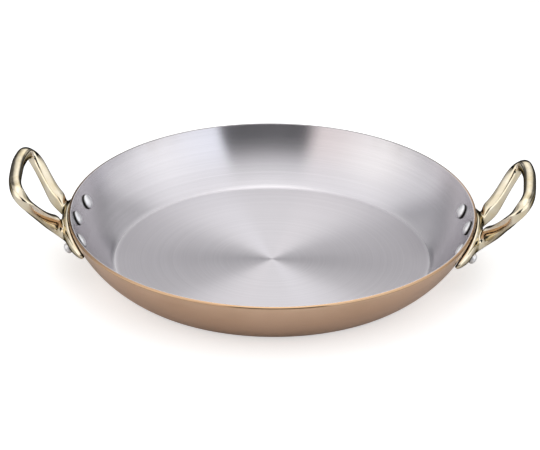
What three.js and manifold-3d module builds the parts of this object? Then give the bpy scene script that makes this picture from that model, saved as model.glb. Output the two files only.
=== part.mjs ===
// Round copper pan with a bonded steel lining and two cast loop handles, each held by three rivets.
// Millimetres, +Z up. The origin is the centre of the underside, and the handles stand on +X and -X.

import * as THREE from 'three';
import { mergeVertices } from 'three/addons/utils/BufferGeometryUtils.js';
import Module from 'manifold-3d';

const wasm = await Module();
wasm.setup();

const degree = Math.PI / 180;

// Pan wall, as one outside meridian: a flat floor, a tight corner and a slow flare up to the rim.
const rimRadius = 160;
const panHeight = 43.6;
const floorRadius = 118;
const cornerRadius = 23;
const cornerSweep = 37.5 * degree;
const copperThickness = 2.2;
const liningThickness = 0.4;
const rimRounding = 1.1;

// Rivets, on an arch that drops away from the middle one.
const rivetPitch = 12.9 * degree;
const middleRivetDrop = 10.8;
const sideRivetDrop = 13.5;
const shankRadius = 3;
const innerHeadRadius = 6;
const innerHeadHeight = 3.8;
const outerHeadRadius = 4.2;
const outerHeadHeight = 2.8;

// Flange: a crescent that follows the arch, thick in the middle and thin at its drooping tips.
const flangeReach = 19.4 * degree;
const flangeHalfHeight = 10;
const flangeFullness = 2.4;
const flangeThickness = 9.6;
const flangeEdgeThickness = 3;
const flangeTipThickness = 3;
const crestFullness = 5;
const spotFaceDepth = 0.7;

// Loop: two legs that grow out of the flange, part as they rise, and a grip that joins them.
// Feet and legs stand off the wall at their own height, and the rest is measured from the legs.
const footStandoff = 4.5;
const footDrop = 7;
const footSpread = 17;
const legStandoff = 10.2;
const legDrop = 4.7;
const legSpread = 20;
const legRise = 52 * degree;
const shoulderReach = 31.4;
const shoulderSpread = 39.8;
const shoulderSag = 0.4;
const cornerReach = 42.4;
const cornerSpread = 38.2;
const cornerSag = -0.5;
const gripReach = 31.9;
const gripRise = 34.1;
const gripSpread = 23;
const gripBow = 1.8;
const legRadius = 4.1;
const gripRadius = 4.75;
const footRadius = 8;
const footFlare = 40;

// Clearances between pieces that are bonded, seated or threaded through one another.
const bondGap = 0.1;
const seatGap = 0.3;
const holeGap = 0.3;

// Facets, how close two vertices are before they count as one, and how near its tips the flange is drawn.
const weldDistance = 0.0001;
const tipShare = 0.998;
const turnFacets = 72;
const rimFacets = 3;
const cornerFacets = 3;
const wallFacets = 4;
const rivetFacets = 18;
const domeFacets = 4;
const loopSteps = 44;
const loopFacets = 12;
const flangeSteps = 24;
const flangeFacets = 8;

// The meridian's two arcs meet smoothly where the corner ends.
const cornerTop = new THREE.Vector2(
  floorRadius + cornerRadius * Math.sin(cornerSweep),
  cornerRadius * (1 - Math.cos(cornerSweep)),
);
const rimSlope = 2 * Math.atan2(panHeight - cornerTop.y, rimRadius - cornerTop.x) - cornerSweep;
const wallRadius = (rimRadius - cornerTop.x) / (Math.sin(rimSlope) - Math.sin(cornerSweep));
const cornerCentre = new THREE.Vector2(floorRadius, cornerRadius);
const wallCentre = new THREE.Vector2(
  cornerTop.x - wallRadius * Math.sin(cornerSweep),
  cornerTop.y + wallRadius * Math.cos(cornerSweep),
);

// A point of an arc of the meridian at a slope, moved inwards by a depth.
function arcPoint(centre, radius, slope, depth) {
  const reach = radius - depth;
  return new THREE.Vector2(centre.x + reach * Math.sin(slope), centre.y - reach * Math.cos(slope));
}

function wallPoint(slope, depth) {
  return arcPoint(wallCentre, wallRadius, slope, depth);
}

function wallSlope(height, depth) {
  return Math.acos((wallCentre.y - height) / (wallRadius - depth));
}

function wallReach(height) {
  return wallPoint(wallSlope(height, 0), 0).x;
}

// The whole meridian at one depth, from the axis up to a height near the rim.
function meridian(depth, top) {
  const points = [new THREE.Vector2(0, depth)];
  for (let i = 0; i < cornerFacets; i += 1) {
    points.push(arcPoint(cornerCentre, cornerRadius, cornerSweep * i / cornerFacets, depth));
  }
  const topSlope = wallSlope(top, depth);
  for (let i = 0; i <= wallFacets; i += 1) {
    points.push(wallPoint(cornerSweep + (topSlope - cornerSweep) * i / wallFacets, depth));
  }
  return points;
}

// A closed geometry as a solid, with shared vertices merged, empty triangles dropped and faces outward.
function solidOf(geometry) {
  const bare = new THREE.BufferGeometry();
  bare.setAttribute('position', geometry.getAttribute('position'));
  bare.setIndex(geometry.getIndex());
  const merged = mergeVertices(bare, weldDistance);
  const corners = merged.getIndex().array;
  const kept = [];
  for (let i = 0; i < corners.length; i += 3) {
    const [a, b, c] = corners.slice(i, i + 3);
    if (a !== b && b !== c && c !== a) {
      kept.push(a, b, c);
    }
  }
  const vertProperties = new Float32Array(merged.getAttribute('position').array);
  const build = (triangles) => new wasm.Manifold(
    new wasm.Mesh({ numProp: 3, vertProperties, triVerts: new Uint32Array(triangles) }),
  );
  const solid = build(kept);
  return solid.volume() > 0 ? solid : build(kept.reverse());
}

function geometryOf(solid) {
  const cut = solid.getMesh();
  const geometry = new THREE.BufferGeometry();
  geometry.setAttribute('position', new THREE.BufferAttribute(new Float32Array(cut.vertProperties), 3));
  geometry.setIndex(new THREE.BufferAttribute(new Uint32Array(cut.triVerts), 1));
  geometry.computeVertexNormals();
  return geometry;
}

// A profile turned about the pan's axis.
function turned(profile, facets) {
  return new THREE.LatheGeometry(profile, facets).rotateX(Math.PI / 2);
}

// A skin over a row of rings with the same number of points, closed by a fan at each end.
function loft(rings) {
  const count = rings[0].length;
  const points = rings.flat();
  const triangles = [];
  for (let i = 0; i + 1 < rings.length; i += 1) {
    for (let j = 0; j < count; j += 1) {
      const a = i * count + j;
      const b = i * count + (j + 1) % count;
      triangles.push(a, b, b + count, a, b + count, a + count);
    }
  }
  for (const [start, flip] of [[0, true], [points.length - count, false]]) {
    for (let j = 1; j + 1 < count; j += 1) {
      triangles.push(start, start + (flip ? j + 1 : j), start + (flip ? j : j + 1));
    }
  }
  const geometry = new THREE.BufferGeometry().setFromPoints(points);
  geometry.setIndex(triangles);
  return geometry;
}

// Half of a rounded head's outline, from its rim in to its crown.
function dome(radius, foot, height) {
  const points = [];
  for (let i = 0; i < domeFacets; i += 1) {
    const turn = Math.PI / 2 * i / domeFacets;
    points.push(new THREE.Vector2(radius * Math.cos(turn), foot + height * Math.sin(turn)));
  }
  points.push(new THREE.Vector2(0, foot + height));
  return points;
}

// Along the flange, station runs from -1 at one tip to 1 at the other.
function archDrop(station) {
  const rivetStation = rivetPitch / flangeReach;
  return middleRivetDrop + (sideRivetDrop - middleRivetDrop) * (station / rivetStation) ** 2;
}

function crestThickness(station) {
  const fall = (flangeThickness - flangeTipThickness) * Math.abs(station) ** crestFullness;
  return flangeThickness - fall;
}

// A point of the handle, by its angle round the pan, its slope on the wall and its distance off the wall.
function padPoint(angle, slope, offset) {
  const point = wallPoint(slope, -offset);
  return new THREE.Vector3(point.x * Math.cos(angle), point.x * Math.sin(angle), point.y);
}

// Rivets, each with the frame of its axis: +Y runs inwards through the wall from its outer face.
const rivetSeats = [-1, 0, 1].map((place) => {
  const station = place * rivetPitch / flangeReach;
  const slope = wallSlope(panHeight - archDrop(station), 0);
  const position = padPoint(place * rivetPitch, slope, 0);
  const outward = padPoint(place * rivetPitch, slope, 1).sub(position);
  const quaternion = new THREE.Quaternion().setFromUnitVectors(new THREE.Vector3(0, -1, 0), outward);
  const grip = crestThickness(station) - spotFaceDepth;
  return { position, quaternion, grip };
});

function atSeat(geometry, seat, turn) {
  const matrix = new THREE.Matrix4().compose(seat.position, seat.quaternion, new THREE.Vector3(1, 1, 1));
  return geometry.applyMatrix4(matrix).rotateZ(turn);
}

// A round cutter about a rivet's axis, between two places along it.
function cutter(radius, from, to) {
  const geometry = new THREE.CylinderGeometry(radius, radius, to - from, rivetFacets);
  return geometry.translate(0, (from + to) / 2, 0);
}

const wallStack = copperThickness + bondGap + liningThickness;
const cutReach = 2 * flangeThickness;
const handleTurns = [0, Math.PI];

function drillWall(solid) {
  let drilled = solid;
  for (const turn of handleTurns) {
    for (const seat of rivetSeats) {
      const hole = atSeat(cutter(shankRadius + holeGap, -cutReach, cutReach), seat, turn);
      drilled = drilled.subtract(solidOf(hole));
    }
  }
  return drilled;
}

// Copper shell, with its outer rim edge rounded over.
function copperShell() {
  const outside = meridian(0, panHeight - rimRounding);
  const shoulder = outside.at(-1);
  const edge = [];
  for (let i = 1; i <= rimFacets; i += 1) {
    const turn = Math.PI / 2 * i / rimFacets;
    edge.push(new THREE.Vector2(
      shoulder.x - rimRounding * (1 - Math.cos(turn)),
      shoulder.y + rimRounding * Math.sin(turn),
    ));
  }
  const inside = meridian(copperThickness, panHeight).reverse();
  return drillWall(solidOf(turned([...outside, ...edge, ...inside], turnFacets)));
}

// Steel lining, bonded all over the inside of the copper.
function steelLining() {
  const back = meridian(copperThickness + bondGap, panHeight);
  const face = meridian(wallStack, panHeight).reverse();
  return drillWall(solidOf(turned([...back, ...face], turnFacets)));
}

// The space inside one depth of the wall, carried straight up past the rim.
function wallCore(depth) {
  const outline = meridian(depth, panHeight);
  const top = 2 * panHeight;
  outline.push(new THREE.Vector2(outline.at(-1).x, top), new THREE.Vector2(0, top));
  return solidOf(turned(outline, turnFacets));
}

function flange() {
  const rings = [];
  for (let i = 0; i <= flangeSteps; i += 1) {
    const station = tipShare * Math.sin(Math.PI * (i / flangeSteps - 0.5));
    const angle = station * flangeReach;
    const slope = wallSlope(panHeight - archDrop(station), 0);
    const halfHeight = flangeHalfHeight * Math.sqrt(1 - Math.abs(station) ** flangeFullness);
    const crest = crestThickness(station);
    const edge = Math.min(flangeEdgeThickness, crest);
    const ring = [];
    for (let j = 0; j <= flangeFacets; j += 1) {
      const swing = Math.PI * (j / flangeFacets - 0.5);
      const lift = edge + (crest - edge) * Math.cos(swing);
      ring.push(padPoint(angle, slope + halfHeight * Math.sin(swing) / wallRadius, lift));
    }
    for (const side of [1, 0, -1]) {
      ring.push(padPoint(angle, slope + side * halfHeight / wallRadius, -copperThickness));
    }
    rings.push(ring);
  }
  return solidOf(loft(rings));
}

// The loop's centreline is drawn from where its legs leave the flange.
const legHeight = panHeight - legDrop;
const legStart = new THREE.Vector3(wallReach(legHeight) + legStandoff, 0, legHeight);

// A point of the legs, in their sloping plane: reach up the legs, spread sideways, sag off the plane.
function legPoint(reach, spread, sag) {
  return legStart.clone().add(new THREE.Vector3(
    reach * Math.cos(legRise) - sag * Math.sin(legRise),
    spread,
    reach * Math.sin(legRise) + sag * Math.cos(legRise),
  ));
}

function loopCurve() {
  const footHeight = panHeight - footDrop;
  const middle = legStart.clone().add(new THREE.Vector3(gripReach, 0, gripRise));
  const half = [
    new THREE.Vector3(wallReach(footHeight) + footStandoff, footSpread, footHeight),
    legPoint(0, legSpread, 0),
    legPoint(shoulderReach, shoulderSpread, shoulderSag),
    legPoint(cornerReach, cornerSpread, cornerSag),
    middle.clone().add(new THREE.Vector3(-gripBow, gripSpread, 0)),
  ];
  const mirrored = half.map((point) => point.clone().setY(-point.y)).reverse();
  return new THREE.CatmullRomCurve3([...half, middle, ...mirrored]);
}

function loop() {
  const curve = loopCurve();
  const frames = curve.computeFrenetFrames(loopSteps, false);
  const length = curve.getLength();
  const rings = [];
  for (let i = 0; i <= loopSteps; i += 1) {
    const share = i / loopSteps;
    const centre = curve.getPointAt(share);
    const fromFoot = Math.min(share, 1 - share) * length;
    const flare = Math.max(0, 1 - fromFoot / footFlare);
    const swell = Math.sin(Math.PI * share) ** 2;
    const radius = legRadius + (gripRadius - legRadius) * swell + (footRadius - legRadius) * flare ** 2;
    const ring = [];
    for (let j = 0; j < loopFacets; j += 1) {
      const turn = 2 * Math.PI * j / loopFacets;
      ring.push(centre.clone()
        .addScaledVector(frames.normals[i], radius * Math.cos(turn))
        .addScaledVector(frames.binormals[i], radius * Math.sin(turn)));
    }
    rings.push(ring);
  }
  return solidOf(loft(rings));
}

// Cast handle: loop and flange in one piece, seated on the wall and spot-faced for its rivets.
function castHandle() {
  let cast = flange().add(loop()).subtract(wallCore(-seatGap));
  for (const seat of rivetSeats) {
    const hole = atSeat(cutter(shankRadius + holeGap, -cutReach, cutReach), seat, 0);
    const face = atSeat(cutter(outerHeadRadius + holeGap, -cutReach, -seat.grip), seat, 0);
    cast = cast.subtract(solidOf(hole)).subtract(solidOf(face));
  }
  return cast;
}

// Rivet: its inner head is trimmed to the curve of the lining, its outer head sits on the spot face.
function rivet(seat) {
  const outerFoot = -(seat.grip + seatGap);
  const innerFoot = wallStack + seatGap;
  const stemEnd = innerFoot + innerHeadHeight / 2;
  const stem = [
    ...dome(outerHeadRadius, outerFoot, -outerHeadHeight).reverse(),
    new THREE.Vector2(shankRadius, outerFoot),
    new THREE.Vector2(shankRadius, stemEnd),
    new THREE.Vector2(0, stemEnd),
  ];
  const crown = [
    new THREE.Vector2(0, 0),
    new THREE.Vector2(innerHeadRadius, 0),
    ...dome(innerHeadRadius, innerFoot, innerHeadHeight),
  ];
  const shaft = solidOf(atSeat(new THREE.LatheGeometry(stem, rivetFacets), seat, 0));
  const head = solidOf(atSeat(new THREE.LatheGeometry(crown, rivetFacets), seat, 0));
  return shaft.add(head.intersect(wallCore(innerFoot)));
}

const copper = { color: 0xb9805f, roughness: 0.3, metalness: 1 };
const steel = { color: 0xc4c4c8, roughness: 0.35, metalness: 1 };
const brass = { color: 0xd3bd86, roughness: 0.15, metalness: 1 };
const rivetSteel = { color: 0xd4d4d6, roughness: 0.2, metalness: 1 };

function meshOf(name, solid, finish) {
  const mesh = new THREE.Mesh(geometryOf(solid), new THREE.MeshStandardMaterial(finish));
  mesh.name = name;
  return mesh;
}

const pan = new THREE.Group();
pan.add(meshOf('copper_body', copperShell(), copper));
pan.add(meshOf('steel_lining', steelLining(), steel));

const sides = ['right', 'left'];
const places = ['front', 'middle', 'back'];
for (const [index, turn] of handleTurns.entries()) {
  const side = new THREE.Group();
  side.rotation.z = turn;
  side.add(meshOf(`handle_${sides[index]}`, castHandle(), brass));
  for (const [number, seat] of rivetSeats.entries()) {
    const place = turn === 0 ? places[number] : places[places.length - 1 - number];
    side.add(meshOf(`rivet_${sides[index]}_${place}`, rivet(seat), rivetSteel));
  }
  pan.add(side);
}

export default pan;
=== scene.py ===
import bpy
import bmesh
import math
from mathutils import Matrix, Vector


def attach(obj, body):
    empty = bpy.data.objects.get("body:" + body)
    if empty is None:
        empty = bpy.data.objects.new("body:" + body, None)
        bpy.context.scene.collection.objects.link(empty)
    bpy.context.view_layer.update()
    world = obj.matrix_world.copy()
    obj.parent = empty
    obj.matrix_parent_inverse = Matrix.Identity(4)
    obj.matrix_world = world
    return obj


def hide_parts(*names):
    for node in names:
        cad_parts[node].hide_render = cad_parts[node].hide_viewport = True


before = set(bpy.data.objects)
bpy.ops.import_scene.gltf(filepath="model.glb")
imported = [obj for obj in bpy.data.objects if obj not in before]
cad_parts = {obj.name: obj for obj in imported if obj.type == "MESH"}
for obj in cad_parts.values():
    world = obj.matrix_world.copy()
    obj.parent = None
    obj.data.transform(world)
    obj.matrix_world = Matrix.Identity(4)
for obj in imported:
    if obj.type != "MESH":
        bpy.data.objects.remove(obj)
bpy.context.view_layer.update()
scene = bpy.context.scene
mm = 0.001
print("frame loaded,", len(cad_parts), "nodes")

# the pan's wall, shared by every piece that sits on it: mm and degrees
panWall = {
    "rimRadius": 160, "height": 43.6, "floorRadius": 121,
    "cornerRadius": 14, "cornerSweep": 35,
    "copper": 2.2, "bond": 0.02, "lining": 0.4,
    "rimRounding": 1, "rimTilt": 6,
    "turnSteps": 192, "cornerSteps": 14, "wallSteps": 20, "rimSteps": 8,
}

# the wall's outside is one arc, from the top of the corner at the floor to the rim
cornerSweep = math.radians(panWall["cornerSweep"])
cornerTop = Vector((
    panWall["floorRadius"] + panWall["cornerRadius"] * math.sin(cornerSweep),
    panWall["cornerRadius"] * (1 - math.cos(cornerSweep)),
))
wallRun = panWall["rimRadius"] - cornerTop.x
rimSlope = 2 * math.atan2(panWall["height"] - cornerTop.y, wallRun) - cornerSweep
wallRadius = wallRun / (math.sin(rimSlope) - math.sin(cornerSweep))
wallCentre = Vector((
    cornerTop.x - wallRadius * math.sin(cornerSweep),
    cornerTop.y + wallRadius * math.cos(cornerSweep),
))
liningFace = panWall["copper"] + panWall["bond"] + panWall["lining"]  # how deep the inside lies


def wallSlope(height, depth=0):  # how far the wall has turned up at a height, so deep under its outside
    return math.acos((wallCentre.y - height) / (wallRadius - depth))


def onWall(angle, slope, lift):  # a point off the wall's outside, and the way out of the wall there
    reach = wallRadius + lift
    radius = wallCentre.x + reach * math.sin(slope)
    height = wallCentre.y - reach * math.cos(slope)
    out = Vector((math.sin(slope) * math.cos(angle), math.sin(slope) * math.sin(angle), -math.cos(slope)))
    return Vector((radius * math.cos(angle), radius * math.sin(angle), height)), out


def hexLinear(code):
    channels = [int(code[i:i + 2], 16) / 255 for i in (1, 3, 5)]
    return [c / 12.92 if c <= 0.04045 else ((c + 0.055) / 1.055) ** 2.4 for c in channels] + [1]


# settings go to sockets or properties, links to sockets, stops to a colour ramp;
# where a Mix node mixes colours, 0 is its factor, 6 and 7 are the colours and output 2 is their mix
def setNode(tree, node, settings=None, links=None, stops=()):
    for key, value in (settings or {}).items():
        if isinstance(key, int) or key in node.inputs:
            node.inputs[key].default_value = value
        else:
            setattr(node, key, value)
    for key, source in (links or {}).items():
        tree.links.new(source, node.inputs[key])
    if stops:
        for inner in stops[1:-1]:
            node.color_ramp.elements.new(inner[0])
        for stop, (position, colour) in zip(node.color_ramp.elements, stops):
            stop.position, stop.color = position, hexLinear(colour)
    return node


def addNode(tree, kind, settings=None, links=None, stops=()):
    return setNode(tree, tree.nodes.new(kind), settings, links, stops)


def newFinish(name):
    finish = bpy.data.materials.new(name)
    finish.use_nodes = True
    return finish, finish.node_tree, finish.node_tree.nodes["Principled BSDF"]


meshing = {
    "weld": 0.002,  # mm, points nearer than this become one
    "crisp": 40,  # degrees, edges that turn more than this stay sharp
}


def addPiece(name, shape, finish, node, crisp=meshing["crisp"]):
    bmesh.ops.remove_doubles(shape, verts=shape.verts, dist=meshing["weld"])
    bmesh.ops.recalc_face_normals(shape, faces=shape.faces)
    bmesh.ops.scale(shape, vec=(mm, mm, mm), verts=shape.verts)
    for face in shape.faces:
        face.smooth = True
    for edge in shape.edges:
        edge.smooth = edge.calc_face_angle(0) < math.radians(crisp)
    mesh = bpy.data.meshes.new(name)
    shape.to_mesh(mesh)
    shape.free()
    mesh.materials.append(finish)
    piece = bpy.data.objects.new(name, mesh)
    scene.collection.objects.link(piece)
    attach(piece, "root")
    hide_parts(node)
    print("made", name, "with", len(mesh.polygons), "faces")
    return piece


def pick(made, kind):  # the vertices or the faces among what an operator made
    return [item for item in made if isinstance(item, kind)]


# a profile is drawn in the XZ plane by carrying its last point along lines and round arcs
def lineTo(shape, point, x, z):
    new = bmesh.ops.extrude_vert_indiv(shape, verts=[point])["verts"][0]
    new.co = (x, 0, z)
    return new


def arcRound(shape, point, centre, turn, steps):
    swept = bmesh.ops.spin(
        shape, geom=[point], cent=(centre[0], 0, centre[1]), axis=(0, -1, 0), angle=turn, steps=steps)
    return pick(swept["geom_last"], bmesh.types.BMVert)[0]


def cornerArc(shape, point, turn):
    centre = (panWall["floorRadius"], panWall["cornerRadius"])
    return arcRound(shape, point, centre, turn, panWall["cornerSteps"])


def upTheWall(shape, point, depth, top):
    point = lineTo(shape, point, panWall["floorRadius"], depth)
    point = cornerArc(shape, point, cornerSweep)
    return arcRound(shape, point, wallCentre, wallSlope(top, depth) - cornerSweep, panWall["wallSteps"])


def downTheWall(shape, point, depth, top):
    slope = wallSlope(top, depth)
    point = lineTo(shape, point, wallCentre.x + (wallRadius - depth) * math.sin(slope), top)
    point = arcRound(shape, point, wallCentre, cornerSweep - slope, panWall["wallSteps"])
    point = cornerArc(shape, point, -cornerSweep)
    lineTo(shape, point, 0, depth)


def turnRound(shape, steps):
    bmesh.ops.spin(
        shape, geom=shape.verts[:] + shape.edges[:], cent=(0, 0, 0), axis=(0, 0, 1),
        angle=math.tau, steps=steps, use_merge=True)


# rings round the pan's axis, as spinning and brushing leave them, and the places that they are drawn from
def spunRings(tree, look):
    place = addNode(tree, "ShaderNodeTexCoord").outputs["Object"]
    flat = addNode(tree, "ShaderNodeVectorMath", {"operation": "MULTIPLY", 1: (1, 1, 0)}, {0: place})
    radius = addNode(tree, "ShaderNodeVectorMath", {"operation": "LENGTH"}, {0: flat.outputs[0]})
    ray = addNode(tree, "ShaderNodeVectorMath", {"operation": "NORMALIZE"}, {0: flat.outputs[0]})
    xyz = addNode(tree, "ShaderNodeSeparateXYZ", None, {0: place})
    along = addNode(
        tree, "ShaderNodeMath", {"operation": "ADD"}, {0: radius.outputs["Value"], 1: xyz.outputs["Z"]})
    pitch = look["ringPitch"] * mm
    rung = addNode(tree, "ShaderNodeMath", {"operation": "MULTIPLY", 1: 1 / pitch}, {0: along.outputs[0]})
    lift = addNode(tree, "ShaderNodeCombineXYZ", None, {"Z": rung.outputs[0]})
    turn = addNode(
        tree, "ShaderNodeVectorMath", {"operation": "SCALE", "Scale": look["ringBreaks"]},
        {0: ray.outputs[0]})
    spot = addNode(
        tree, "ShaderNodeVectorMath", {"operation": "ADD"}, {0: turn.outputs[0], 1: lift.outputs[0]})
    rings = addNode(
        tree, "ShaderNodeTexNoise",
        {"Scale": 1, "Detail": look["ringDetail"], "Roughness": look["ringContrast"]},
        {"Vector": spot.outputs[0]})
    grain = addNode(
        tree, "ShaderNodeBump", {"Strength": look["ringBump"], "Distance": look["ringDepth"] * mm},
        {"Height": rings.outputs["Fac"]})
    return {
        "place": place, "radius": radius.outputs["Value"], "height": xyz.outputs["Z"],
        "ray": ray.outputs[0], "rings": rings.outputs["Fac"], "normal": grain.outputs["Normal"],
    }


def satinCopper():
    # spun copper, satin polished: pinkish beige, soft reflections drawn out up and down by its fine rings
    finish, tree, shader = newFinish("satinCopper")
    look = {
        "tint": ((0.3, "#DAB79A"), (0.7, "#EAC9AE")),  # colours at two levels of the pattern
        "ringPitch": 1.1,  # mm, coarser than the real rings so that they show
        "ringBreaks": 1,  # how much a ring changes on its way round
        "ringDetail": 3, "ringContrast": 0.6, "ringBump": 0.15, "ringDepth": 0.01,
        "cloudSize": 45, "cloudDetail": 2, "cloudShare": 0.5,
        "roughness": 0.24, "roughnessSpread": 0.05, "anisotropy": 0.3,
        "rim": "#C8A684", "rimRoughness": 0.08, "rimDepth": 1.5, "rimBlend": 0.4,  # buffed bright, mm
    }
    spun = spunRings(tree, look)
    clouds = addNode(
        tree, "ShaderNodeTexNoise",
        {"Scale": 1 / (look["cloudSize"] * mm), "Detail": look["cloudDetail"]}, {"Vector": spun["place"]})
    both = addNode(
        tree, "ShaderNodeMix", {"data_type": "FLOAT", "Factor": look["cloudShare"]},
        {"A": spun["rings"], "B": clouds.outputs["Fac"]})
    tint = addNode(tree, "ShaderNodeValToRGB", None, {"Fac": both.outputs[0]}, look["tint"])
    satin = addNode(tree, "ShaderNodeMapRange", {
        "To Min": look["roughness"] - look["roughnessSpread"],
        "To Max": look["roughness"] + look["roughnessSpread"]}, {"Value": spun["rings"]})
    rim = (panWall["height"] - look["rimDepth"]) * mm
    buffed = addNode(
        tree, "ShaderNodeMapRange", {"From Min": rim - look["rimBlend"] * mm, "From Max": rim},
        {"Value": spun["height"]})
    capped = addNode(
        tree, "ShaderNodeMix", {"data_type": "RGBA", 7: hexLinear(look["rim"])},
        {0: buffed.outputs["Result"], 6: tint.outputs["Color"]})
    rough = addNode(
        tree, "ShaderNodeMix", {"data_type": "FLOAT", "B": look["rimRoughness"]},
        {"Factor": buffed.outputs["Result"], "A": satin.outputs["Result"]})
    setNode(tree, shader, {"Metallic": 1, "Anisotropic": look["anisotropy"]}, {
        "Base Color": capped.outputs[2], "Roughness": rough.outputs[0],
        "Normal": spun["normal"], "Tangent": spun["ray"]})
    return finish


def brushedSteel():
    # stainless steel, spun and brushed round its axis: grey, with light fanning from the turning centre
    finish, tree, shader = newFinish("brushedStainlessSteel")
    look = {
        "tint": ((0.3, "#D3D0D3"), (0.7, "#DAD7DA")),
        "ringPitch": 1.2,  # mm, coarser than real brush lines so that they show
        "ringBreaks": 0.4, "ringDetail": 4, "ringContrast": 0.65, "ringBump": 0.02, "ringDepth": 0.01,
        "floorRoughness": 0.46, "wallRoughness": 0.24, "anisotropy": 0.97,
        "blend": (-0.5, 3),  # mm out from the floor's edge, where its roughness turns into the wall's
    }
    spun = spunRings(tree, look)
    tint = addNode(tree, "ShaderNodeValToRGB", None, {"Fac": spun["rings"]}, look["tint"])
    begins, ends = (panWall["floorRadius"] + out for out in look["blend"])
    rough = addNode(tree, "ShaderNodeMapRange", {
        "From Min": begins * mm, "From Max": ends * mm,
        "To Min": look["floorRoughness"], "To Max": look["wallRoughness"]}, {"Value": spun["radius"]})
    setNode(tree, shader, {"Metallic": 1, "Anisotropic": look["anisotropy"]}, {
        "Base Color": tint.outputs["Color"], "Roughness": rough.outputs["Result"],
        "Normal": spun["normal"], "Tangent": spun["ray"]})
    return finish


def castBrass():
    # brass, sand cast and buffed by hand: pale gold, bright, with reflections that waver along the bars,
    # and painted shade, dark along the seat where the flange meets the wall
    finish, tree, shader = newFinish("buffedCastBrass")
    look = {
        "tint": ((0.3, "#E7D9B9"), (0.7, "#F4EAD4")),
        "waveSize": 9, "waveDetail": 1, "waveBump": 0.5, "waveDepth": 0.25,
        "grainSize": 1.2, "grainDetail": 3,  # mm, coarser than the real grain so that it shows
        "roughness": 0.11, "roughnessSpread": 0.05,
        "seatShade": "#2A1E12", "seatShadeBlend": (0.45, 0.75),  # painted shade along the seat, between the front at 0 and the seat at 1
        "grazingShade": (0, 0, 0, 1),  # painted shade: a black edge tint darkens it where it turns away
    }
    place = addNode(tree, "ShaderNodeTexCoord").outputs["Object"]
    waves = addNode(
        tree, "ShaderNodeTexNoise", {"Scale": 1 / (look["waveSize"] * mm), "Detail": look["waveDetail"]},
        {"Vector": place})
    grain = addNode(
        tree, "ShaderNodeTexNoise", {"Scale": 1 / (look["grainSize"] * mm), "Detail": look["grainDetail"]},
        {"Vector": place})
    tint = addNode(tree, "ShaderNodeValToRGB", None, {"Fac": waves.outputs["Fac"]}, look["tint"])
    rough = addNode(tree, "ShaderNodeMapRange", {
        "To Min": look["roughness"] - look["roughnessSpread"],
        "To Max": look["roughness"] + look["roughnessSpread"]}, {"Value": grain.outputs["Fac"]})
    dents = addNode(
        tree, "ShaderNodeBump", {"Strength": look["waveBump"], "Distance": look["waveDepth"] * mm},
        {"Height": waves.outputs["Fac"]})
    # painted shade: the brass darkens towards its seat on the wall, where shade falls between the parts
    seat = addNode(tree, "ShaderNodeAttribute", {"attribute_name": "seatShade"})
    begins, whole = look["seatShadeBlend"]
    left = addNode(
        tree, "ShaderNodeMapRange", {"From Min": begins, "From Max": whole}, {"Value": seat.outputs["Fac"]})
    seatShaded = addNode(
        tree, "ShaderNodeMix", {"data_type": "RGBA", 7: hexLinear(look["seatShade"])},
        {0: left.outputs["Result"], 6: tint.outputs["Color"]})
    # the edge tint paints shade on the brass where it turns away
    setNode(tree, shader, {"Metallic": 1, "Specular Tint": look["grazingShade"]}, {
        "Base Color": seatShaded.outputs[2], "Roughness": rough.outputs["Result"],
        "Normal": dents.outputs["Normal"]})
    return finish


def rivetSteel():
    # stainless steel rivets, set with a hammer: bright, dented domes, with painted shade round the inner
    # heads' edges where they meet the lining
    finish, tree, shader = newFinish("setRivetSteel")
    look = {
        "tint": ((0.35, "#EAEAEC"), (0.65, "#FAFAFA")),
        "dentSize": 3, "dentDetail": 2, "dentBump": 0.7, "dentDepth": 0.4,
        "roughness": (0.46, 0.56),
        "contactShade": "#302E2B", "contactShadeBlend": (0.89, 0.98),  # painted shade at the edge, from and to these shares of the inner head's radius
        "grazingShade": (0.5, 0.5, 0.5, 1),  # painted shade: a grey edge tint darkens the domes where they turn away
    }
    place = addNode(tree, "ShaderNodeTexCoord").outputs["Object"]
    dents = addNode(
        tree, "ShaderNodeTexNoise", {"Scale": 1 / (look["dentSize"] * mm), "Detail": look["dentDetail"]},
        {"Vector": place})
    tint = addNode(tree, "ShaderNodeValToRGB", None, {"Fac": dents.outputs["Fac"]}, look["tint"])
    # painted shade: a dark ring round the inner head's edge, where it meets the lining and shade falls
    edge = addNode(tree, "ShaderNodeAttribute", {"attribute_name": "edge"})
    begins, whole = look["contactShadeBlend"]
    contactShadeMask = addNode(
        tree, "ShaderNodeMapRange", {"From Min": begins, "From Max": whole}, {"Value": edge.outputs["Fac"]})
    contactShaded = addNode(
        tree, "ShaderNodeMix", {"data_type": "RGBA", 7: hexLinear(look["contactShade"])},
        {0: contactShadeMask.outputs["Result"], 6: tint.outputs["Color"]})
    smoothest, roughest = look["roughness"]
    rough = addNode(
        tree, "ShaderNodeMapRange", {"To Min": smoothest, "To Max": roughest},
        {"Value": dents.outputs["Fac"]})
    bump = addNode(
        tree, "ShaderNodeBump", {"Strength": look["dentBump"], "Distance": look["dentDepth"] * mm},
        {"Height": dents.outputs["Fac"]})
    # the edge tint paints shade on the domes where they turn away
    setNode(tree, shader, {"Metallic": 1, "Specular Tint": look["grazingShade"]}, {
        "Base Color": contactShaded.outputs[2], "Roughness": rough.outputs["Result"],
        "Normal": bump.outputs["Normal"]})
    return finish


copperFinish = satinCopper()
liningFinish = brushedSteel()
brassFinish = castBrass()
rivetFinish = rivetSteel()
print("finishes ready")


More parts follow.
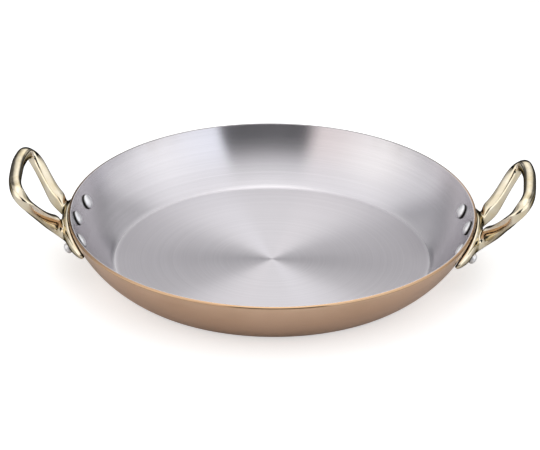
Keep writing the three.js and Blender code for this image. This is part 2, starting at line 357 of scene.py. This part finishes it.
# copper shell, its rim cut sloping outwards and rounded over
def copperBody():
    rounding = panWall["rimRounding"]
    tilt = math.radians(panWall["rimTilt"])
    across = panWall["copper"] / math.sin(rimSlope) - rounding * (math.sin(rimSlope) - math.sin(tilt))
    inner = panWall["height"] - panWall["lining"] / math.sin(rimSlope) * math.tan(tilt)
    outer = inner - across * math.tan(tilt) - rounding * (math.cos(rimSlope) + math.cos(tilt))
    slope = wallSlope(outer)
    shape = bmesh.new()
    point = shape.verts.new((0, 0, 0))
    point = upTheWall(shape, point, 0, outer)
    turnCentre = (point.co.x - rounding * math.sin(slope), point.co.z + rounding * math.cos(slope))
    point = arcRound(shape, point, turnCentre, math.pi - tilt - slope, panWall["rimSteps"])
    downTheWall(shape, point, panWall["copper"], inner)
    turnRound(shape, panWall["turnSteps"])
    addPiece("copperBody", shape, copperFinish, "copper_body")


# steel lining, bonded to the inside of the copper
def steelLining():
    back = panWall["copper"] + panWall["bond"]
    shape = bmesh.new()
    point = shape.verts.new((0, 0, back))
    point = upTheWall(shape, point, back, panWall["height"])
    downTheWall(shape, point, liningFace, panWall["height"])
    turnRound(shape, panWall["turnSteps"])
    addPiece("steelLining", shape, liningFinish, "steel_lining")


copperBody()
steelLining()

# rivets: three to a handle on an arch, a wide domed head inside and a small one outside: mm and degrees
rivets = {
    "pitch": 12.9, "middleDrop": 10.8, "sideDrop": 13.5,
    "innerRadius": 6, "innerHeight": 3.7,
    "outerRadius": 4.2, "outerHeight": 2.8, "outerFoot": 0.3,
    "crown": 2.1,  # 2 is a round dome, more is fuller
    "shank": 3, "sink": 0.6, "turnSteps": 48, "domeSteps": 14,
}

# flange: half a crescent on the wall, thick in the middle and thin at its drooping tip: mm and degrees
flange = {
    "reach": 19.4, "halfHeight": 10, "fullness": 2.4, "seat": 0.3,
    "thickness": 9.6, "edge": 3, "tip": 3, "crestFullness": 5, "spotFace": 0.7, "undercut": 0.86,
    "stations": (0, 0.19, 0.32, 0.455, 0.62, 0.8, 0.93, 0.99),  # shares of its reach
    "rows": (-1, -0.55, 0.2, 0.85, 1),  # shares of its half height
    "legStations": (0.19, 0.455), "legRows": (-0.55, 0.85),  # the patch that the leg grows from
    "onMiddle": 1e-4,  # points nearer than this to the handle's middle lie on it
}


def archDrop(station):
    side = rivets["pitch"] / flange["reach"]
    return rivets["middleDrop"] + (rivets["sideDrop"] - rivets["middleDrop"]) * (station / side) ** 2


def crestThickness(station):
    full = 1 - abs(station) ** flange["crestFullness"]
    return flange["tip"] + (flange["thickness"] - flange["tip"]) * full


# drawn up the Z axis, which then points out of the wall
def rivet(side, where, place):
    station = place * rivets["pitch"] / flange["reach"]
    grip = crestThickness(station) - flange["spotFace"]
    foot = -liningFace
    crown = 2 / rivets["crown"]
    swings = [math.pi / 2 * i / rivets["domeSteps"] for i in range(rivets["domeSteps"] + 1)]
    shape = bmesh.new()
    point = shape.verts.new((0, 0, foot - rivets["innerHeight"]))
    for swing in swings[1:]:
        height = rivets["innerHeight"] * max(0, math.cos(swing)) ** crown
        point = lineTo(shape, point, rivets["innerRadius"] * math.sin(swing) ** crown, foot - height)
    point = lineTo(shape, point, rivets["innerRadius"], foot + rivets["sink"])
    point = lineTo(shape, point, rivets["shank"], foot + rivets["sink"])
    point = lineTo(shape, point, rivets["shank"], grip - rivets["sink"])
    point = lineTo(shape, point, rivets["outerRadius"], grip - rivets["sink"])
    for swing in swings:
        width = rivets["outerRadius"] * max(0, math.cos(swing)) ** crown
        height = grip + rivets["outerFoot"] + rivets["outerHeight"] * math.sin(swing) ** crown
        point = lineTo(shape, point, width, height)
    turnRound(shape, rivets["turnSteps"])
    edge = shape.verts.layers.float.new("edge")  # 0 on the axis, 1 at the edge of the inner head
    for vert in shape.verts:
        vert[edge] = vert.co.xy.length / rivets["innerRadius"] if vert.co.z < 0 else 0
    slope = wallSlope(panWall["height"] - archDrop(station))
    seat, out = onWall(math.radians(place * rivets["pitch"]), slope, 0)
    tilt = Vector((0, 0, 1)).rotation_difference(out).to_matrix().to_4x4()
    turn = Matrix.Rotation(0 if side == "right" else math.pi, 4, "Z")
    bmesh.ops.transform(shape, matrix=turn @ Matrix.Translation(seat) @ tilt, verts=shape.verts)
    name = "rivet" + side.capitalize() + "_" + where
    addPiece(name, shape, rivetFinish, "rivet_" + side + "_" + where)


for side, onward in (("right", 1), ("left", -1)):
    for where, place in (("front", -1), ("middle", 0), ("back", 1)):
        rivet(side, where, place * onward)

# loop: centreline of one half, from its foot in the flange to the middle of the grip: mm and degrees
loop = {
    "line": (
        (161.7, 17, 36.6), (168.4, 20, 38.9), (188.9, 39.7, 65.2),
        (194.4, 37.8, 71.7), (199, 21.8, 72.7), (200, 0, 73)),
    "legRadius": 4.45, "gripHalfWidth": 4.95, "gripHalfHeight": 4.5,
    "footHalfWidth": 5.4, "footHalfHeight": 8.4, "footFlare": 36,
    "flatness": 0.66,  # how far the flats of the bar's section reach towards its corners
    "firstRing": 8, "ringPitch": 4.8, "samples": 60,
    "smoothing": 3, "cage": 0.987,  # the smoothed bar's size as a share of its cage's
    "mirrorWeld": 0.01, "crisp": 180,  # no edge of the casting stays sharp
}


# a smooth line through points, with knots spaced by the root of their distance
def smoothLine(points, samples):
    points = [2 * points[0] - points[1], *points, 2 * points[-1] - points[-2]]
    line = []
    for a, b, c, d in zip(points, points[1:], points[2:], points[3:]):
        knots = [0]
        for p, q in ((a, b), (b, c), (c, d)):
            knots.append(knots[-1] + math.sqrt((q - p).length))
        t0, t1, t2, t3 = knots
        for i in range(samples):
            t = t1 + (t2 - t1) * i / samples
            ab = a.lerp(b, (t - t0) / (t1 - t0))
            bc = b.lerp(c, (t - t1) / (t2 - t1))
            cd = c.lerp(d, (t - t2) / (t3 - t2))
            abc = ab.lerp(bc, (t - t0) / (t2 - t0))
            bcd = bc.lerp(cd, (t - t1) / (t3 - t1))
            line.append(abc.lerp(bcd, (t - t1) / (t2 - t1)))
    return line + [points[-2]]


# rings along half the loop: where each puts the bar's section, and the turn that faces it along the bar
def ringPlaces():
    half = [Vector(point) for point in loop["line"]]
    mirrored = [Vector((p.x, -p.y, p.z)) for p in half[-2::-1]]
    line = smoothLine(half + mirrored, loop["samples"])
    line = line[:loop["samples"] * (len(half) - 1) + 1]  # one half again, now level across the middle
    travelled = [0]
    for a, b in zip(line, line[1:]):
        travelled.append(travelled[-1] + (b - a).length)
    total = travelled[-1]
    count = round((total - loop["firstRing"]) / loop["ringPitch"])
    places = []
    for k in range(count + 1):
        distance = loop["firstRing"] + (total - loop["firstRing"]) * k / count
        if k == count:
            centre, ahead = line[-1], Vector((0, -1, 0))
        else:
            i = next(n for n, far in enumerate(travelled) if far >= distance)
            centre, ahead = line[i], (line[i + 1] - line[i - 1]).normalized()
        share = distance / (2 * total)  # of the whole loop
        flare = max(0, 1 - distance / loop["footFlare"])
        swell = math.sin(math.pi * share) ** 2
        sizes = []
        for grip, foot in (("gripHalfWidth", "footHalfWidth"), ("gripHalfHeight", "footHalfHeight")):
            leg = loop["legRadius"] + (loop[foot] - loop["legRadius"]) * flare ** 2
            sizes.append((leg + (loop[grip] - loop["legRadius"]) * swell) / loop["cage"])
        facing = ahead.to_track_quat("Z", "Y").to_matrix().to_4x4()
        places.append((Matrix.Translation(centre) @ facing @ Matrix.Diagonal((*sizes, 1, 1)), facing))
    return places


# the bar's section, a square with its corners cut, as a ring of spots from the right flat upwards
def barSection():
    flat = loop["flatness"]
    quarter = [Vector((1, flat, 0)), Vector((flat, 1, 0))]
    return [Matrix.Rotation(math.pi / 2 * turn, 3, "Z") @ spot for turn in range(4) for spot in quarter]


# half a flange, a grid wrapped on the wall with a seat and a front; gives the faces that its leg grows from
def halfFlange(shape):
    seatShade = shape.verts.layers.float.new("seatShade")  # 1 on the seat, where the brass is painted dark as shade against the wall
    columns, rows = flange["stations"], flange["rows"]
    bmesh.ops.create_grid(shape, x_segments=len(columns) - 1, y_segments=len(rows) - 1, size=0.5)
    front = bmesh.ops.extrude_face_region(shape, geom=shape.faces[:], use_keep_orig=True)["geom"]
    frontVerts = set(pick(front, bmesh.types.BMVert))
    spots = {}
    for vert in shape.verts:
        column = round((vert.co.x + 0.5) * (len(columns) - 1))
        row = round((vert.co.y + 0.5) * (len(rows) - 1))
        spots[vert] = (columns[column], rows[row])
    first, last = flange["legStations"]
    bottom, top = flange["legRows"]
    inLeg = {v for v, (station, row) in spots.items() if first <= station <= last and bottom <= row <= top}
    legFaces = [face for face in pick(front, bmesh.types.BMFace) if inLeg.issuperset(face.verts)]
    for vert, (station, row) in spots.items():
        if vert in frontVerts:
            crest = crestThickness(station)
            edge = min(flange["edge"], crest)
            lift, spread = edge + (crest - edge) * math.sqrt(max(0, 1 - row * row)), row
        else:
            vert[seatShade] = 1
            lift, spread = flange["seat"], row * flange["undercut"]
        halfHeight = flange["halfHeight"] * math.sqrt(1 - station ** flange["fullness"])
        slope = wallSlope(panWall["height"] - archDrop(station)) + halfHeight * spread / wallRadius
        vert.co = onWall(math.radians(station * flange["reach"]), slope, lift)[0]
    middle = [face for face in shape.faces if all(abs(v.co.y) < flange["onMiddle"] for v in face.verts)]
    bmesh.ops.delete(shape, geom=middle, context="FACES")
    return legFaces


# the patch becomes the bar's section, with its middle vertex at the centre and the others round it
def patchToSection(verts, patch, placement, facing):
    middle = sum((v.co for v in verts), Vector()) / len(verts)
    turnBack = facing.to_3x3().transposed()
    angles = {}
    for vert in verts:
        spot = turnBack @ (vert.co - middle)
        if all(face in patch for face in vert.link_faces):
            vert.co = placement.translation
        else:
            angles[vert] = math.atan2(spot.y, spot.x) % math.tau
    section = barSection()
    ring = sorted(angles, key=angles.get)
    shift = max(range(len(ring)), key=lambda n: sum(
        math.cos(angles[v] - math.atan2(section[i - n].y, section[i - n].x)) for i, v in enumerate(ring)))
    for i, vert in enumerate(ring):
        vert.co = placement @ section[i - shift]


# a leg and half the grip, drawn out of the flange ring by ring
def drawLeg(shape, patch):
    places = ringPlaces()
    for k, (placement, facing) in enumerate(places):
        drawn = bmesh.ops.extrude_face_region(shape, geom=patch)["geom"]
        bmesh.ops.delete(shape, geom=patch, context="FACES")
        verts, patch = pick(drawn, bmesh.types.BMVert), pick(drawn, bmesh.types.BMFace)
        if k == 0:
            patchToSection(verts, patch, placement, facing)
        else:
            bmesh.ops.transform(shape, matrix=placement @ places[k - 1][0].inverted(), verts=verts)
    bmesh.ops.delete(shape, geom=patch, context="FACES")


# cast handle: half of it is drawn, then mirrored and smoothed
def castHandle(name, side):
    shape = bmesh.new()
    drawLeg(shape, halfFlange(shape))
    half = shape.verts[:] + shape.edges[:] + shape.faces[:]
    bmesh.ops.mirror(shape, geom=half, axis="Y", merge_dist=loop["mirrorWeld"])
    if side == "left":
        bmesh.ops.rotate(shape, cent=(0, 0, 0), matrix=Matrix.Rotation(math.pi, 3, "Z"), verts=shape.verts)
    piece = addPiece(name, shape, brassFinish, "handle_" + side, loop["crisp"])
    smooth = piece.modifiers.new("smooth", "SUBSURF")
    smooth.levels = smooth.render_levels = loop["smoothing"]
    made = bpy.data.meshes.new_from_object(piece.evaluated_get(bpy.context.evaluated_depsgraph_get()))
    piece.modifiers.clear()
    piece.data = made
    print("smoothed", name, "to", len(made.polygons), "faces")


castHandle("handleRight", "right")
castHandle("handleLeft", "left")

# camera, from the photograph's own viewing angle: mm, degrees and pixels
photoView = {
    "azimuth": 2.4, "elevation": 27.05, "roll": 0.4, "distance": 4200, "aim": (0, 0, 20),
    "aimPixel": (272.2, 239.2), "pixelsPerMm": 1.2778, "image": (540, 450),
    "sensor": 36, "farthest": 100000,
}


def photoCamera():
    turn, rise, roll = (math.radians(photoView[key]) for key in ("azimuth", "elevation", "roll"))
    back = Vector((math.sin(turn) * math.cos(rise), -math.cos(turn) * math.cos(rise), math.sin(rise)))
    level = Vector((math.cos(turn), math.sin(turn), 0))
    plumb = back.cross(level)
    right = level * math.cos(roll) + plumb * math.sin(roll)
    up = plumb * math.cos(roll) - level * math.sin(roll)
    wide, tall = photoView["image"]
    aside = (photoView["aimPixel"][0] - wide / 2) / photoView["pixelsPerMm"]
    below = (photoView["aimPixel"][1] - tall / 2) / photoView["pixelsPerMm"]
    place = (Vector(photoView["aim"]) + back * photoView["distance"] - right * aside + up * below) * mm
    camera = bpy.data.objects.new("photoCamera", bpy.data.cameras.new("photoCamera"))
    camera.data.sensor_width = photoView["sensor"]
    camera.data.sensor_fit = "HORIZONTAL"
    camera.data.lens = photoView["sensor"] * photoView["distance"] * photoView["pixelsPerMm"] / wide
    camera.data.clip_end = photoView["farthest"] * mm
    camera.matrix_world = Matrix((right, up, back)).transposed().to_4x4()
    camera.matrix_world.translation = place
    scene.collection.objects.link(camera)
    scene.camera = camera
    print("camera at", [round(x, 3) for x in place], "lens", round(camera.data.lens, 1))


photoCamera()

# pale table top that reads white to the eye and keeps the pan's shadow: mm
tableTop = {
    "size": 1000, "drop": 0.2,  # just clear of the pan's base
    "colour": "#DADAD9", "roughness": 0.9,
    "eyeLift": 0.55, "metalLift": 0.02,  # light of its own, for the camera and for reflections in the metal
}


def paleFloor():
    shape = bmesh.new()
    bmesh.ops.create_grid(shape, x_segments=1, y_segments=1, size=tableTop["size"] * mm / 2)
    bmesh.ops.translate(shape, vec=(0, 0, -tableTop["drop"] * mm), verts=shape.verts)
    mesh = bpy.data.meshes.new("floor")
    shape.to_mesh(mesh)
    shape.free()
    floor = bpy.data.objects.new("floor", mesh)
    scene.collection.objects.link(floor)
    finish, tree, shader = newFinish("paleFloor")
    path = addNode(tree, "ShaderNodeLightPath")
    mirrored = addNode(
        tree, "ShaderNodeMath", {"operation": "MAXIMUM"},
        {0: path.outputs["Is Glossy Ray"], 1: path.outputs["Is Transmission Ray"]})
    dim = addNode(
        tree, "ShaderNodeMath", {"operation": "MULTIPLY", 1: tableTop["metalLift"]},
        {0: mirrored.outputs[0]})
    lift = addNode(
        tree, "ShaderNodeMath", {"operation": "MULTIPLY_ADD", 1: tableTop["eyeLift"]},
        {0: path.outputs["Is Camera Ray"], 2: dim.outputs[0]})
    setNode(tree, shader, {
        "Base Color": hexLinear(tableTop["colour"]), "Roughness": tableTop["roughness"],
        "Specular IOR Level": 0, "Emission Color": (1, 1, 1, 1)}, {"Emission Strength": lift.outputs[0]})
    face = addNode(tree, "ShaderNodeNewGeometry")
    clear = addNode(tree, "ShaderNodeBsdfTransparent")  # its back is clear, so the pan shows from below
    both = addNode(
        tree, "ShaderNodeMixShader", None,
        {0: face.outputs["Backfacing"], 1: shader.outputs[0], 2: clear.outputs[0]})
    tree.links.new(both.outputs[0], tree.nodes["Material Output"].inputs["Surface"])
    mesh.materials.append(finish)


# studio of soft panels, drawn in the world
studio = {
    "bright": 1.68,
    "panels": (  # colours round the pan, by degrees from the front, left of it negative
        (-180, "#F4F4F5"), (-178.5, "#F0F0F1"), (-175.5, "#DCDCDD"), (-166, "#4E4F53"),
        (-156, "#505155"), (-142, "#66676B"), (-126, "#707175"), (-102, "#C8C8CA"),
        (-66, "#ECEBE9"), (-27, "#D6CECC"), (-15, "#1A1C1F"), (31, "#1A1C1F"),
        (35, "#E1E5ED"), (76, "#E7E8EA"), (106, "#CBCBCD"), (128, "#6E6E6F"),
        (142, "#646465"), (156, "#505155"), (166, "#4E4F53"), (175.5, "#DCDCDD"),
        (178.5, "#F0F0F1"), (180, "#F4F4F5")),
    "overhead": (0, 0.5, 0.866),  # the way to the ceiling panel, above and behind
    # laid over the panels in turn: a colour, and how far each way it begins and is whole,
    # where 1 is straight that way
    "layers": (
        ("#ACACAE", (("up", 0.42, 0.56), ("back", 0.4, 0.6), ("aside", 0.2, 0.32))),  # screens
        ("#A2A2A4", (("up", 0.2, 0.5), ("back", 0.4, 0.55), ("back", 0.86, 0.74))),  # wings beside them
        ("#D3D3D5", (("up", 0.6, 0.88),)),  # upper walls
        ("#FFFFFF", (("overhead", 0.83, 0.94), ("aside", 0.3, 0.02))),  # ceiling panel
        ("#2C2C2E", (("up", 0.34, 0.24), ("back", 0.89, 0.95))),  # shade low at the back
        ("#141416", (("up", 0.15, 0.08), ("back", 0.1, 0.7))),  # skirting
    ),
}


def studioSky():
    world = bpy.data.worlds.new("studioSky")
    scene.world = world
    world.use_nodes = True
    tree = world.node_tree
    way = addNode(tree, "ShaderNodeTexCoord").outputs["Generated"]
    xyz = addNode(tree, "ShaderNodeSeparateXYZ", None, {0: way})
    front = addNode(tree, "ShaderNodeMath", {"operation": "MULTIPLY", 1: -1}, {0: xyz.outputs["Y"]})
    angle = addNode(
        tree, "ShaderNodeMath", {"operation": "ARCTAN2"}, {0: xyz.outputs["X"], 1: front.outputs[0]})
    share = addNode(
        tree, "ShaderNodeMapRange", {"From Min": -math.pi, "From Max": math.pi}, {"Value": angle.outputs[0]})
    stops = [(degrees / 360 + 0.5, colour) for degrees, colour in studio["panels"]]
    panels = addNode(tree, "ShaderNodeValToRGB", None, {"Fac": share.outputs["Result"]}, stops)
    panels.color_ramp.interpolation = "EASE"
    aside = addNode(tree, "ShaderNodeMath", {"operation": "ABSOLUTE"}, {0: xyz.outputs["X"]})
    overhead = addNode(
        tree, "ShaderNodeVectorMath", {"operation": "DOT_PRODUCT", 1: studio["overhead"]}, {0: way})
    measures = {
        "up": xyz.outputs["Z"], "back": xyz.outputs["Y"],
        "aside": aside.outputs[0], "overhead": overhead.outputs["Value"],
    }
    tint = panels.outputs["Color"]
    for colour, limits in studio["layers"]:
        cover = None
        for measure, begins, whole in limits:
            part = addNode(
                tree, "ShaderNodeMapRange",
                {"From Min": begins, "From Max": whole, "interpolation_type": "SMOOTHSTEP"},
                {"Value": measures[measure]})
            if cover:
                part = addNode(
                    tree, "ShaderNodeMath", {"operation": "MULTIPLY"},
                    {0: cover.outputs[0], 1: part.outputs[0]})
            cover = part
        mixed = addNode(
            tree, "ShaderNodeMix", {"data_type": "RGBA", 7: hexLinear(colour)},
            {0: cover.outputs[0], 6: tint})
        tint = mixed.outputs[2]
    lit = setNode(tree, tree.nodes["Background"], {"Strength": studio["bright"]}, {"Color": tint})
    seen = addNode(tree, "ShaderNodeBackground", {"Color": (1, 1, 1, 1), "Strength": 1})
    path = addNode(tree, "ShaderNodeLightPath")
    both = addNode(
        tree, "ShaderNodeMixShader", None,
        {0: path.outputs["Is Camera Ray"], 1: lit.outputs[0], 2: seen.outputs[0]})
    tree.links.new(both.outputs[0], tree.nodes["World Output"].inputs["Surface"])


paleFloor()
studioSky()
scene.view_settings.view_transform = "Standard"
print("stage and lights ready")
